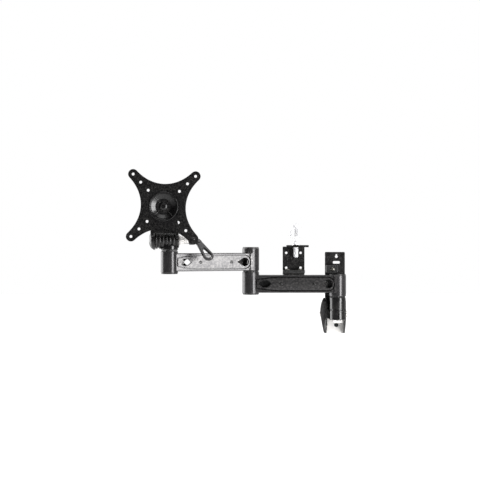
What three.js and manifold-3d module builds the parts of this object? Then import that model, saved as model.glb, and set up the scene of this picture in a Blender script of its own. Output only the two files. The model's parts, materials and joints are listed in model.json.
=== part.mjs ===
// A wall-mounted monitor arm: wall bracket, two swinging arms, tilting head and screen plate.
// Millimetres. X runs along the wall, Y into the wall, Z up.
// The origin is the centre of the wall plate's back face.

import * as THREE from 'three';
import { mergeVertices } from 'three/addons/utils/BufferGeometryUtils.js';
import Module from 'manifold-3d';

const wasm = await Module();
wasm.setup();

// ---------------------------------------------------------------- driving dimensions

const GAP = 0.3; // clearance between neighbouring pieces

// Vertical swivel axes. The arms and head are drawn in line along the wall, then swung out.
const PIVOT_Y = -32;
const WALL_X = 2.5;
const ARM_LENGTH = 145;
const ELBOW_X = WALL_X - ARM_LENGTH;
const HEAD_X = ELBOW_X - ARM_LENGTH; // with the arms in line
const FOREARM_SWING = THREE.MathUtils.degToRad(24); // how far the forearm stands out from the wall

// Barrels, pins and bushes of the swivels
const BARREL_R = 14;
const BORE_R = 7.5;
const PIN_R = 5.5;
const WASHER_T = 1.2;
const CAP_T = 1.2;

// Arms
const ARM_DEPTH = 23;
const ARM_HEIGHT = 29.4;
const UPPER_ARM_Z = 16;
const FOREARM_Z = 52.8;
const COVER_T = 2;
const COVER_GROOVE = 1.4; // width of the groove round a cover
const CHANNEL_DEPTH = 15;
const CHANNEL_HALF = 7.5;
const CABLE_HOLE_R = 7.2;
const CABLE_HOLE_INSET = 16; // from the right-hand swivel axis
const COVER_INSET = 10.5; // from the left-hand swivel axis
const SCOOP_INSET = 23; // from the left-hand swivel axis
const SCOOP_LENGTH = 10.5; // half the length of the leaf-shaped cable exit
const SCOOP_HEIGHT = 6; // half its height
const LEFT_SCREW_INSET = 50; // from the left-hand swivel axis

// Wall plate and bracket
const PLATE_HALF = 16.8;
const PLATE_TOP = 68.8;
const PLATE_T = 2;
const WEB_T = 2.7;
const WEB_BOTTOM = -44;
const KEYHOLE_Z = 61;
const SLOT_Z = 51.2;
const LOWER_HOLE_Z = -55;
const CHEEK_T = 2.5;
const CLAMP_TOP = -6.6;
const LOCK_Z = -35;
const LOCK_Y = -19;
const STOP_LEFT = -16;
const STOP_RIGHT = 4;
const STOP_TOP = 47;

// Screen plate and its hub
const SCREEN_X = -295.9;
const SCREEN_Z = 142.8;
const SCREEN_ROLL = THREE.MathUtils.degToRad(2.1); // the plate hangs slightly clockwise
const SCREEN_FRONT = -60;
const SCREEN_T = 3;
const HOLE_STEPS = [25, 37.5, 50];
const SCREW_HOLE_R = 2.3;
const LOBE_R = 8;
const EDGE_MID = 36; // from the centre to the middle of each hollow edge
const DISH_R = 24;
const DISH_DEPTH = 4.8;

// Tilt head
const TILT_Z = 88.8;
const DRUM_R = 14.2;
const DRUM_GROOVE_R = 12.5;
const DRUM_LEFT = -310.5;
const DRUM_RIGHT = -276.5;
const RIB_COUNT = 6;
const EAR_LEFT = -321;
const EAR_RIGHT = -272;
const EAR_LEFT_R = 16;
const EAR_RIGHT_R = 12.5;
const TILT_BOLT_R = 4;
const CARRIER_FRONT = -51.1;
const CARRIER_T = 5;
const LEVER_LEFT = -256;
const LEVER_TIP_X = -223.6;
const LEVER_REACH = 34.6;
const LEVER_LEAN = THREE.MathUtils.degToRad(42);

// Accessory bracket on the upper arm
const STAND_LEFT = -89;
const STAND_RIGHT = -52.4;
const STAND_TOP = 78;
const STAND_T = 2.5;
const STAND_BACK = -21.5;
const THUMB_X = -67;
const THUMB_Y = -34;
const THUMB_R = 3.6;

// ---------------------------------------------------------------- materials

const PALETTE = {
  blackPaint: { color: 0x1c1c1e, roughness: 0.42, metalness: 0.35 },
  greyPaint: { color: 0x3a3a3d, roughness: 0.36, metalness: 0.5 },
  blackPlastic: { color: 0x101012, roughness: 0.5, metalness: 0 },
  nylon: { color: 0x18181a, roughness: 0.55, metalness: 0 },
  zinc: { color: 0xc9c7bd, roughness: 0.3, metalness: 0.95 },
  steel: { color: 0x9a9a9c, roughness: 0.3, metalness: 0.95 },
  chrome: { color: 0xe4e4e6, roughness: 0.12, metalness: 1 },
};

// ---------------------------------------------------------------- solids

function outward(geometry) {
  const bare = geometry.clone();
  bare.deleteAttribute('normal');
  bare.deleteAttribute('uv');
  const merged = mergeVertices(bare, 1e-4);
  const points = merged.attributes.position;
  const corner = [new THREE.Vector3(), new THREE.Vector3(), new THREE.Vector3()];
  let volume = 0;
  for (let i = 0; i < merged.index.count; i += 3) {
    corner.forEach((point, k) => point.fromBufferAttribute(points, merged.index.getX(i + k)));
    volume += corner[0].dot(corner[1].clone().cross(corner[2]));
  }
  if (volume < 0) {
    const index = merged.index.array;
    for (let i = 0; i < index.length; i += 3) {
      [index[i], index[i + 1]] = [index[i + 1], index[i]];
    }
  }
  return merged;
}

function solidOf(geometry) {
  const closed = outward(geometry);
  return new wasm.Manifold(new wasm.Mesh({
    numProp: 3,
    vertProperties: new Float32Array(closed.attributes.position.array),
    triVerts: new Uint32Array(closed.index.array),
  }));
}

function geometryOf(solid) {
  const mesh = solid.getMesh();
  const geometry = new THREE.BufferGeometry();
  geometry.setAttribute('position', new THREE.BufferAttribute(new Float32Array(mesh.vertProperties), 3));
  geometry.setIndex(new THREE.BufferAttribute(new Uint32Array(mesh.triVerts), 1));
  return geometry;
}

function join(...parts) {
  return parts.reduce((whole, part) => whole.add(part));
}

function cut(whole, ...tools) {
  return tools.reduce((rest, tool) => rest.subtract(tool), whole);
}

// Turns a shape made about or along the local Y axis (lathe) to lie on a world axis.
function alongAxis(geometry, axis) {
  if (axis === 'x') {
    geometry.rotateZ(-Math.PI / 2);
  }
  if (axis === 'z') {
    geometry.rotateX(Math.PI / 2);
  }
  return geometry;
}

// Places a point's two off-axis coordinates, given in X, Y, Z order.
function centred(geometry, axis, [first, second]) {
  const place = { x: [0, first, second], y: [first, 0, second], z: [first, second, 0] }[axis];
  return geometry.translate(...place);
}

function lathe(profile, axis, centre, sides = 20) {
  const points = [...profile, profile[0]].map(([radius, height]) => new THREE.Vector2(radius, height));
  return solidOf(centred(alongAxis(new THREE.LatheGeometry(points, sides), axis), axis, centre));
}

function rod(radius, low, high, axis, centre, sides = 20) {
  const geometry = new THREE.CylinderGeometry(radius, radius, high - low, sides);
  geometry.translate(0, (low + high) / 2, 0);
  return solidOf(centred(alongAxis(geometry, axis), axis, centre));
}

function ring(outer, inner, low, high, axis, centre, sides = 20) {
  return lathe([[inner, low], [outer, low], [outer, high], [inner, high]], axis, centre, sides);
}

function hexNut(radius, bore, low, high, axis, centre) {
  return cut(rod(radius, low, high, axis, centre, 6), rod(bore, low - 1, high + 1, axis, centre, 16));
}

function box(low, high) {
  const size = high.map((value, i) => value - low[i]);
  const geometry = new THREE.BoxGeometry(...size);
  return solidOf(geometry.translate(...low.map((value, i) => value + size[i] / 2)));
}

// Extrudes an outline drawn in the named plane from low to high along the remaining axis.
function slab(shape, plane, low, high, curveSegments = 8) {
  const settings = { depth: high - low, bevelEnabled: false, curveSegments };
  const geometry = new THREE.ExtrudeGeometry(shape, settings);
  const frames = {
    xy: [[1, 0, 0], [0, 1, 0], [0, 0, 1], [0, 0, low]],
    xz: [[1, 0, 0], [0, 0, 1], [0, -1, 0], [0, high, 0]],
    yz: [[0, 1, 0], [0, 0, 1], [1, 0, 0], [low, 0, 0]],
  };
  const [u, v, w, origin] = frames[plane].map((values) => new THREE.Vector3(...values));
  geometry.applyMatrix4(new THREE.Matrix4().makeBasis(u, v, w).setPosition(origin));
  return solidOf(geometry);
}

// ---------------------------------------------------------------- outlines

function polygon(points) {
  return new THREE.Shape(points.map(([u, v]) => new THREE.Vector2(u, v)));
}

function roundedRectangle(left, bottom, right, top, radius) {
  const shape = new THREE.Shape();
  shape.moveTo(left + radius, bottom);
  shape.lineTo(right - radius, bottom);
  shape.absarc(right - radius, bottom + radius, radius, -Math.PI / 2, 0);
  shape.lineTo(right, top - radius);
  shape.absarc(right - radius, top - radius, radius, 0, Math.PI / 2);
  shape.lineTo(left + radius, top);
  shape.absarc(left + radius, top - radius, radius, Math.PI / 2, Math.PI);
  shape.lineTo(left, bottom + radius);
  shape.absarc(left + radius, bottom + radius, radius, Math.PI, Math.PI * 1.5);
  return shape;
}

// Two circles of different size joined by their outer tangents.
function taperedLoop([u1, v1], r1, [u2, v2], r2) {
  const heading = Math.atan2(v2 - v1, u2 - u1);
  const flare = Math.acos((r1 - r2) / Math.hypot(u2 - u1, v2 - v1));
  const shape = new THREE.Shape();
  shape.absarc(u2, v2, r2, heading - flare, heading + flare);
  shape.absarc(u1, v1, r1, heading + flare, heading + 2 * Math.PI - flare);
  return shape;
}

// The arm cover: blunt and narrow at the left, full height at the right.
function lensOutline(left, right, z, margin) {
  const tip = 6.2 + margin;
  const half = ARM_HEIGHT / 2 - 4 + margin;
  const start = left - margin;
  const end = right + margin;
  const swell = 45;
  const shape = new THREE.Shape();
  shape.moveTo(start, z - tip);
  shape.quadraticCurveTo(start + swell / 2, z - half, start + swell, z - half);
  shape.lineTo(end - half, z - half);
  shape.quadraticCurveTo(end, z - half, end, z);
  shape.quadraticCurveTo(end, z + half, end - half, z + half);
  shape.lineTo(start + swell, z + half);
  shape.quadraticCurveTo(start + swell / 2, z + half, start, z + tip);
  return shape;
}

// Two shallow curves meeting at a point at each end.
function leafOutline(x, z, length, height) {
  const shape = new THREE.Shape();
  shape.moveTo(x - length, z);
  shape.quadraticCurveTo(x, z - 2 * height, x + length, z);
  shape.quadraticCurveTo(x, z + 2 * height, x - length, z);
  return shape;
}

function onScreenPlate(x, z) {
  const point = new THREE.Vector2(x, z).rotateAround(new THREE.Vector2(), -SCREEN_ROLL);
  return [point.x + SCREEN_X, point.y + SCREEN_Z];
}

function screenPlateOutline() {
  const shape = new THREE.Shape();
  const last = HOLE_STEPS[HOLE_STEPS.length - 1];
  const side = LOBE_R * Math.SQRT1_2;
  const start = new THREE.Vector2(-last + side, last + side);
  const sag = (start.y - EDGE_MID) / 0.75;
  const bend = new THREE.Vector2(start.x + sag, start.y - sag);
  const placed = ({ x, y }, turn) => {
    const point = new THREE.Vector2(x, y).rotateAround(new THREE.Vector2(), -turn);
    return onScreenPlate(point.x, point.y);
  };
  shape.moveTo(...placed(start, 0));
  for (let quarter = 0; quarter < 4; quarter += 1) {
    const turn = quarter * Math.PI / 2;
    const lobe = placed({ x: last, y: last }, turn);
    const first = placed(bend, turn);
    const second = placed({ x: -bend.x, y: bend.y }, turn);
    shape.bezierCurveTo(...first, ...second, ...placed({ x: -start.x, y: start.y }, turn));
    const lobeStart = Math.PI * 0.75 - turn - SCREEN_ROLL;
    shape.absarc(...lobe, LOBE_R, lobeStart, lobeStart - Math.PI, true);
  }
  return shape;
}

// ---------------------------------------------------------------- scene graph

const arm = new THREE.Group();
const forearmGroup = new THREE.Group();
const headGroup = new THREE.Group();
arm.add(forearmGroup, headGroup);

function piece(name, solid, finish, group = arm) {
  const mesh = new THREE.Mesh(geometryOf(solid), new THREE.MeshStandardMaterial(PALETTE[finish]));
  mesh.name = name;
  group.add(mesh);
}

// The forearm turns about the elbow, and the head keeps facing forward on the forearm's far end.
function swingOut() {
  const elbow = new THREE.Vector3(ELBOW_X, PIVOT_Y, 0);
  const reach = new THREE.Vector3(HEAD_X - ELBOW_X, 0, 0);
  const up = new THREE.Vector3(0, 0, 1);
  forearmGroup.rotation.z = FOREARM_SWING;
  forearmGroup.position.copy(elbow).sub(elbow.clone().applyAxisAngle(up, FOREARM_SWING));
  headGroup.position.copy(reach).applyAxisAngle(up, FOREARM_SWING).sub(reach);
}

// ---------------------------------------------------------------- wall mount

function wallHoles(low, high) {
  const keyhole = rod(2.4, low, high, 'y', [WALL_X, KEYHOLE_Z], 16);
  const keySlit = box([WALL_X - 1.3, low, KEYHOLE_Z], [WALL_X + 1.3, high, KEYHOLE_Z + 4]);
  const slotOutline = roundedRectangle(WALL_X - 6, SLOT_Z - 2.2, WALL_X + 6, SLOT_Z + 2.2, 2.1);
  const slot = slab(slotOutline, 'xz', low, high, 4);
  return [keyhole, keySlit, slot, rod(2.6, low, high, 'y', [WALL_X, LOWER_HOLE_Z], 20)];
}

function plateOutline(bottom) {
  return roundedRectangle(-PLATE_HALF, bottom, PLATE_HALF, PLATE_TOP, 1.5);
}

function wallPlate() {
  const blank = slab(plateOutline(-PLATE_TOP), 'xz', -PLATE_T, 0, 3);
  piece('wall_plate', cut(blank, ...wallHoles(-PLATE_T - 1, 1)), 'zinc');
  const lowerHole = [WALL_X, LOWER_HOLE_Z];
  const flange = rod(3.4, -PLATE_T - GAP - 0.8, -PLATE_T - GAP, 'y', lowerHole);
  piece('foot_plug', join(flange, rod(2.3, -PLATE_T - 0.5, -0.4, 'y', lowerHole)), 'blackPlastic');
}

// A black pressing: web on the wall plate, two tapering cheeks and a split barrel clamped on the post.
function wallBracket() {
  const back = -PLATE_T - GAP;
  const front = back - WEB_T;
  const web = slab(plateOutline(WEB_BOTTOM), 'xz', front, back, 3);
  const cheekOutline = polygon([
    [back, -PLATE_TOP], [back, CLAMP_TOP], [-24, CLAMP_TOP - 2], [-30, CLAMP_TOP - 8],
    [-31, LOCK_Z - 8], [-22, -55], [-6, -PLATE_TOP],
  ]);
  const leftCheek = slab(cheekOutline, 'yz', -PLATE_HALF, -PLATE_HALF + CHEEK_T);
  const rightCheek = slab(cheekOutline, 'yz', PLATE_HALF - CHEEK_T, PLATE_HALF);
  const shelf = box([-PLATE_HALF + 1, PIVOT_Y + 2, LOCK_Z - 7], [PLATE_HALF - 1, back - 1, LOCK_Z + 7]);
  const centre = [WALL_X, PIVOT_Y];
  const barrel = rod(BARREL_R - 0.4, WEB_BOTTOM, CLAMP_TOP, 'z', centre, 28);
  const seam = box(
    [WALL_X - 0.8, PIVOT_Y - BARREL_R - 1, WEB_BOTTOM - 1],
    [WALL_X + 0.8, PIVOT_Y, CLAMP_TOP + 1],
  );
  const bore = rod(PIN_R + GAP, WEB_BOTTOM - 1, CLAMP_TOP + 1, 'z', centre);
  const lockHole = rod(2.5 + GAP, -PLATE_HALF - 1, PLATE_HALF + 1, 'x', [LOCK_Y, LOCK_Z]);
  const body = join(web, leftCheek, rightCheek, shelf, barrel);
  piece('wall_bracket', cut(body, seam, bore, lockHole, ...wallHoles(front - 1, back + 1)), 'blackPaint');
}

function liftStop() {
  const face = -24;
  const back = -PLATE_T - GAP - WEB_T - GAP;
  const bottom = WALL_BARREL[1] + 3 * GAP + CAP_T;
  const centre = [STOP_LEFT + 11, (bottom + STOP_TOP) / 2];
  const outline = roundedRectangle(STOP_LEFT, bottom, STOP_RIGHT, STOP_TOP, 2.5);
  const hole = rod(2 + GAP, face - 1, back + 1, 'y', centre, 16);
  piece('lift_stop', cut(slab(outline, 'xz', face, back, 4), hole), 'blackPlastic');
  const head = rod(3.4, face - GAP - 2, face - GAP, 'y', centre);
  piece('lift_stop_screw', join(head, rod(2, face - GAP - 0.5, back, 'y', centre, 16)), 'steel');
}

function wallPost() {
  const centre = [WALL_X, PIVOT_Y];
  const nutTop = WEB_BOTTOM - GAP;
  piece('wall_post', rod(PIN_R, nutTop - 6, WALL_BARREL[1] - 3, 'z', centre), 'steel');
  piece('wall_post_nut', hexNut(8, PIN_R + GAP, nutTop - 5, nutTop, 'z', centre), 'zinc');
}

// The lock's bolt runs behind the post, with the lever on the left and its nut on the right.
function swingLock() {
  const centre = [LOCK_Y, LOCK_Z];
  const side = PLATE_HALF + GAP;
  const shank = rod(2.5, -side - 8, side + 5.5, 'x', centre);
  const bolt = join(shank, rod(4.2, -side - 10, -side - 7.4, 'x', centre));
  piece('lock_bolt', bolt, 'zinc');
  piece('lock_washer', ring(6.2, 2.5 + GAP, side, side + 1.2, 'x', centre), 'zinc');
  piece('lock_nut', hexNut(6, 2.5 + GAP, side + 1.5, side + 5, 'x', centre), 'zinc');
  const inner = -side;
  const outline = new THREE.Shape();
  outline.moveTo(inner, LOCK_Z + 27);
  outline.lineTo(inner - 3, LOCK_Z + 27);
  outline.quadraticCurveTo(inner - 10, LOCK_Z + 15, inner - 8, LOCK_Z - 2);
  outline.quadraticCurveTo(inner - 6, LOCK_Z - 18, inner - 2.5, LOCK_Z - 32);
  outline.lineTo(inner - 0.4, LOCK_Z - 32);
  outline.quadraticCurveTo(inner - 2.2, LOCK_Z - 18, inner, LOCK_Z - 8);
  const blade = slab(outline, 'xz', LOCK_Y - 8, LOCK_Y + 8);
  const paddleOutline = taperedLoop([LOCK_Y, LOCK_Z + 20], 7, [LOCK_Y, LOCK_Z - 28], 4);
  const paddle = slab(paddleOutline, 'yz', inner - 12, inner + 1);
  const hole = rod(2.5 + GAP, inner - 12, inner + 1, 'x', centre);
  const recess = rod(4.2 + GAP, inner - 12, inner - 7.4 + GAP, 'x', centre);
  piece('lock_lever', cut(blade.intersect(paddle), hole, recess), 'greyPaint');
}

// ---------------------------------------------------------------- arms

// An arm is a tray with a barrel at each end; its cable channel is closed by a lens-shaped cover.
function armBody(part) {
  const { name, left, right, z, leftBarrel, rightBarrel, exitAtBack, group } = part;
  const { hole, scoop, screws } = coverPlaces(part);
  const front = PIVOT_Y - ARM_DEPTH / 2;
  const back = PIVOT_Y + ARM_DEPTH / 2;
  const low = z - ARM_HEIGHT / 2;
  const high = z + ARM_HEIGHT / 2;
  const beam = slab(roundedRectangle(front, low, back, high, 3), 'yz', left, right, 4);
  const blockLeft = hole + CABLE_HOLE_R + 1.5 + COVER_GROOVE;
  const blockSection = roundedRectangle(PIVOT_Y - BARREL_R, low, PIVOT_Y, high, 2);
  const endBlock = slab(blockSection, 'yz', blockLeft, right, 4);
  const ends = [[left, leftBarrel], [right, rightBarrel]];
  const barrels = ends.map(([x, [bottom, top]]) => rod(BARREL_R, bottom, top, 'z', [x, PIVOT_Y], 28));
  const bores = ends.map(([x, [bottom, top]]) => rod(BORE_R, bottom - 1, top + 1, 'z', [x, PIVOT_Y]));
  const pocketFloor = front + COVER_T + GAP;
  const pocket = slab(coverOutline(part, COVER_GROOVE), 'xz', front - 4, pocketFloor);
  const channel = box(
    [left + BORE_R + 5.5, front, z - CHANNEL_HALF],
    [hole + CABLE_HOLE_R - 1.5, front + CHANNEL_DEPTH, z + CHANNEL_HALF],
  );
  const bosses = screws.map((x) => rod(3.2, pocketFloor, front + CHANNEL_DEPTH + 1, 'y', [x, z], 16));
  const threads = screws.map((x) => rod(1.3 + GAP, front, pocketFloor + 6, 'y', [x, z], 12));
  const hollowed = join(cut(join(beam, endBlock, ...barrels), pocket, channel, ...bores), ...bosses);
  const exit = slab(leafOutline(scoop + 11, z, 7.5, 5), 'xz', front + CHANNEL_DEPTH - 1, back + 1);
  piece(name, cut(hollowed, ...threads, ...(exitAtBack ? [exit] : [])), 'greyPaint', group);
}

function coverPlaces({ left, right }) {
  const hole = right - CABLE_HOLE_INSET;
  const scoop = left + SCOOP_INSET;
  return { hole, scoop, screws: [left + LEFT_SCREW_INSET, hole - 24] };
}

function coverOutline(part, margin) {
  const { hole } = coverPlaces(part);
  return lensOutline(part.left + COVER_INSET, hole + CABLE_HOLE_R + 1.5, part.z, margin);
}

function armCover(part) {
  const { name, z, group } = part;
  const { hole, scoop, screws } = coverPlaces(part);
  const front = PIVOT_Y - ARM_DEPTH / 2;
  const sheet = slab(coverOutline(part, 0), 'xz', front, front + COVER_T);
  const holes = [
    rod(CABLE_HOLE_R, front - 1, front + COVER_T + 1, 'y', [hole, z], 24),
    slab(leafOutline(scoop, z, SCOOP_LENGTH, SCOOP_HEIGHT), 'xz', front - 1, front + COVER_T + 1),
    ...screws.map((x) => rod(1.3 + GAP, front - 1, front + COVER_T + 1, 'y', [x, z], 12)),
  ];
  piece(`${name}_cover`, cut(sheet, ...holes), 'greyPaint', group);
  screws.forEach((x, index) => {
    const head = rod(2.6, front - GAP - 1.2, front - GAP, 'y', [x, z], 16);
    const shank = rod(1.3, front - GAP - 0.5, front + COVER_T + 5, 'y', [x, z], 12);
    piece(`${name}_cover_screw_${index + 1}`, join(head, shank), 'blackPaint', group);
  });
}

// Flanged bushes at both mouths of a barrel's bore.
function bushes(name, x, bottom, top, group) {
  const centre = [x, PIVOT_Y];
  const reach = 9;
  const inner = PIN_R + GAP;
  const outer = BORE_R - GAP;
  piece(`${name}_bush_lower`, ring(outer, inner, bottom, bottom + reach, 'z', centre), 'nylon', group);
  piece(`${name}_bush_upper`, ring(outer, inner, top - reach, top, 'z', centre), 'nylon', group);
}

function washer(name, x, low, group) {
  piece(name, ring(BARREL_R - 1, PIN_R + GAP, low, low + WASHER_T, 'z', [x, PIVOT_Y]), 'nylon', group);
}

// A push-in cap: a thin disc with a short spigot inside the bore, facing up or down.
function cap(name, x, face, facing, group) {
  const near = face + facing * GAP;
  const far = near + facing * CAP_T;
  const inside = face - facing * 2;
  const disc = rod(BARREL_R - 0.6, Math.min(near, far), Math.max(near, far), 'z', [x, PIVOT_Y], 28);
  const spigot = rod(BORE_R - 2.4, Math.min(inside, far), Math.max(inside, far), 'z', [x, PIVOT_Y], 24);
  piece(name, join(disc, spigot), 'blackPlastic', group);
}

const WALL_BARREL = [CLAMP_TOP + 2 * GAP + WASHER_T, 30.8];
const ELBOW_LOWER = [-0.6, 36];
const ELBOW_UPPER = [ELBOW_LOWER[1] + 2 * GAP + WASHER_T, 75.7];
const HEAD_BARREL = [35.4, 71];

const UPPER_ARM = {
  name: 'upper_arm',
  left: ELBOW_X,
  right: WALL_X,
  z: UPPER_ARM_Z,
  leftBarrel: ELBOW_LOWER,
  rightBarrel: WALL_BARREL,
  exitAtBack: false,
  group: arm,
};
const FOREARM = {
  name: 'forearm',
  left: HEAD_X,
  right: ELBOW_X,
  z: FOREARM_Z,
  leftBarrel: HEAD_BARREL,
  rightBarrel: ELBOW_UPPER,
  exitAtBack: true,
  group: forearmGroup,
};

function arms() {
  [UPPER_ARM, FOREARM].forEach((part) => {
    armBody(part);
    armCover(part);
  });
  washer('wall_washer', WALL_X, CLAMP_TOP + GAP, arm);
  bushes('wall', WALL_X, ...WALL_BARREL, arm);
  cap('wall_cap', WALL_X, WALL_BARREL[1], 1, arm);
  washer('elbow_washer', ELBOW_X, ELBOW_LOWER[1] + GAP, arm);
  bushes('elbow', ELBOW_X, ...ELBOW_UPPER, forearmGroup);
  cap('elbow_cap_upper', ELBOW_X, ELBOW_UPPER[1], 1, forearmGroup);
  cap('elbow_cap_lower', ELBOW_X, ELBOW_LOWER[0], -1, arm);
  const collarTop = ELBOW_LOWER[1] - 1;
  const pin = rod(PIN_R, ELBOW_LOWER[0] + 3, ELBOW_UPPER[1] - 3, 'z', [ELBOW_X, PIVOT_Y]);
  const collar = rod(BORE_R - GAP, ELBOW_LOWER[0] + 3, collarTop, 'z', [ELBOW_X, PIVOT_Y]);
  piece('elbow_pin', join(pin, collar), 'steel');
  bushes('head', HEAD_X, ...HEAD_BARREL, forearmGroup);
  washer('head_washer', HEAD_X, HEAD_BARREL[1] + GAP, forearmGroup);
  cap('head_cap', HEAD_X, HEAD_BARREL[0], -1, forearmGroup);
}

// ---------------------------------------------------------------- accessory bracket

function standBracket() {
  const armTop = UPPER_ARM_Z + ARM_HEIGHT / 2;
  const front = STAND_BACK - STAND_T;
  const footBottom = armTop + GAP;
  const footTop = footBottom + STAND_T;
  const upright = box([STAND_LEFT, front, footBottom], [STAND_RIGHT, STAND_BACK, STAND_TOP]);
  const foot = box([STAND_LEFT + 1.5, front - 17, footBottom], [STAND_RIGHT - 1.5, front + 1, footTop]);
  const shelfTop = STAND_TOP + STAND_T;
  const shelf = box([STAND_LEFT + 6, front - 20, STAND_TOP - 1], [STAND_RIGHT + 6, STAND_BACK, shelfTop]);
  const slot = box([THUMB_X - 3.4, front - 1, 61], [THUMB_X + 4.2, STAND_BACK + 1, STAND_TOP - 1 - GAP]);
  const corners = [[-83, 67.5], [-59, 67.5], [-83, 42.5], [-59, 42.5]];
  const holes = corners.map(([x, z]) => rod(2.1, front - 1, STAND_BACK + 1, 'y', [x, z], 16));
  const screwPlaces = [[STAND_LEFT + 8, -33], [STAND_RIGHT - 8, -33]];
  const footHoles = screwPlaces.map((place) => rod(2 + GAP, footBottom - 1, footTop + 1, 'z', place, 16));
  const thumbHole = rod(THUMB_R + GAP, STAND_TOP - 2, STAND_TOP + 4, 'z', [THUMB_X, THUMB_Y], 20);
  const body = join(upright, foot, shelf);
  piece('stand_bracket', cut(body, slot, thumbHole, ...holes, ...footHoles), 'blackPaint');

  const padBottom = footTop + GAP;
  const padTop = padBottom + 5.2;
  const padOutline = roundedRectangle(STAND_LEFT, -43, STAND_RIGHT, front - GAP, 2);
  const pad = slab(padOutline, 'xy', padBottom, padTop, 3);
  const padHoles = screwPlaces.map((place) => rod(2 + GAP, padBottom - 1, padTop + 1, 'z', place, 16));
  piece('stand_pad', cut(pad, ...padHoles), 'blackPlastic');
  screwPlaces.forEach((place, index) => {
    const shank = rod(2, footBottom, padTop + 1, 'z', place, 16);
    const head = rod(3.6, padTop + GAP, padTop + GAP + 2, 'z', place, 16);
    piece(`stand_screw_${index + 1}`, join(shank, head), 'steel');
  });
}

// A silver thumbscrew: threaded shank, waisted neck and a five-lobed knob with a domed top.
function thumbScrew() {
  const centre = [THUMB_X, THUMB_Y];
  const base = STAND_TOP + STAND_T + GAP;
  const shankEnd = 60;
  const profile = [
    [0, shankEnd], [THUMB_R, shankEnd], [THUMB_R, base], [7, base], [7, base + 3],
    [5, base + 7], [6, base + 14], [0, base + 14],
  ];
  const lobes = 5;
  const steps = 60;
  const outline = polygon(Array.from({ length: steps }, (_, i) => {
    const turn = i / steps * 2 * Math.PI;
    const radius = 11.6 + 1.8 * Math.cos(lobes * turn);
    return [THUMB_X + radius * Math.cos(turn), THUMB_Y + radius * Math.sin(turn)];
  }));
  const grip = slab(outline, 'xy', base + 13, base + 28);
  const dome = lathe([[0, base + 27], [9, base + 27], [7, base + 33], [0, base + 37]], 'z', centre);
  const stem = lathe(profile, 'z', centre, 24);
  piece('thumb_screw', join(stem, grip, dome), 'chrome');
}

// ---------------------------------------------------------------- head

function knuckle() {
  const tiltCentre = [PIVOT_Y, TILT_Z];
  const base = HEAD_BARREL[1] + 2 * GAP + WASHER_T;
  const pitch = (DRUM_RIGHT - DRUM_LEFT) / (2 * RIB_COUNT - 1);
  const profile = [[TILT_BOLT_R + GAP, DRUM_LEFT]];
  for (let i = 0; i < 2 * RIB_COUNT - 1; i += 1) {
    const radius = i % 2 === 0 ? DRUM_R : DRUM_GROOVE_R;
    profile.push([radius, DRUM_LEFT + i * pitch], [radius, DRUM_LEFT + (i + 1) * pitch]);
  }
  profile.push([TILT_BOLT_R + GAP, DRUM_RIGHT]);
  const drum = lathe(profile, 'x', tiltCentre, 24);
  const neck = cut(
    rod(BARREL_R, base, TILT_Z - 6, 'z', [HEAD_X, PIVOT_Y], 28),
    box([DRUM_RIGHT, PIVOT_Y - 20, base + 1], [DRUM_RIGHT + 20, PIVOT_Y + 20, TILT_Z]),
    rod(DRUM_GROOVE_R - 1, DRUM_LEFT, DRUM_RIGHT + 1, 'x', tiltCentre, 24),
  );
  const postHole = rod(PIN_R + GAP, base - 1, base + 6, 'z', [HEAD_X, PIVOT_Y]);
  piece('tilt_knuckle', cut(join(drum, neck), postHole), 'blackPaint', headGroup);
  const post = rod(PIN_R, HEAD_BARREL[0] + 3, base + 5.5, 'z', [HEAD_X, PIVOT_Y]);
  piece('swivel_post', post, 'steel', headGroup);
}

function tiltHardware() {
  const centre = [PIVOT_Y, TILT_Z];
  const headEnd = EAR_LEFT + 5;
  const bolt = join(
    rod(TILT_BOLT_R, headEnd - 1, LEVER_LEFT + 10, 'x', centre),
    rod(6.5, headEnd - 4, headEnd, 'x', centre, 6),
  );
  piece('tilt_bolt', bolt, 'steel', headGroup);
  const washerLow = EAR_RIGHT + GAP;
  const bore = TILT_BOLT_R + GAP;
  piece('tilt_washer', ring(8, bore, washerLow, washerLow + 1.6, 'x', centre), 'zinc', headGroup);
  const nutLow = washerLow + 1.6 + GAP;
  piece('tilt_nut', hexNut(7.5, bore, nutLow, nutLow + 6, 'x', centre), 'zinc', headGroup);
  const spacer = ring(6, bore, nutLow + 6 + GAP, LEVER_LEFT - GAP, 'x', centre);
  piece('tilt_spacer', spacer, 'zinc', headGroup);
}

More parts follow.
